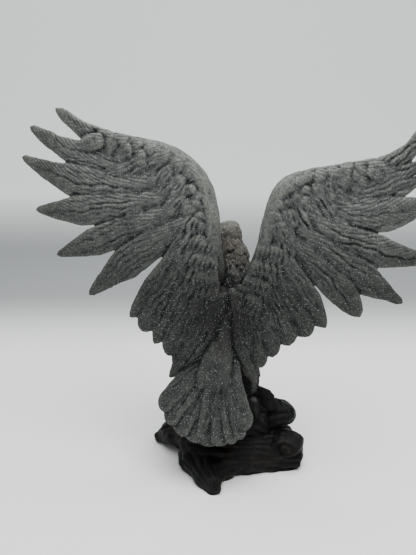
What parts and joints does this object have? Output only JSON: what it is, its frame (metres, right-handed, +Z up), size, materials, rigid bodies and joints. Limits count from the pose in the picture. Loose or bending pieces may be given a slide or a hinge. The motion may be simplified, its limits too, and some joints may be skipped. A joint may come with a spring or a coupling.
{
  "type": "eagle sculpture",
  "caption": "Table-top eagle figure with raised, spread wings and a fanned tail, standing on a rough driftwood rock.",
  "frame": {"origin": "on the rock's flat underside, below the bird's feet", "axes": "+Z up, +Y the way the bird faces, +X towards its right wing tip"},
  "size_m": [0.2546, 0.086, 0.233],
  "materials": {
    "glitter_resin": "matt dark grey coat with fine silver glitter",
    "black_resin": "matt black coat with brown dry-brushed highlights"
  },
  "bodies": {
    "root": {"eagle": "glitter_resin", "rock_base": "black_resin"}
  },
  "joints": []
}
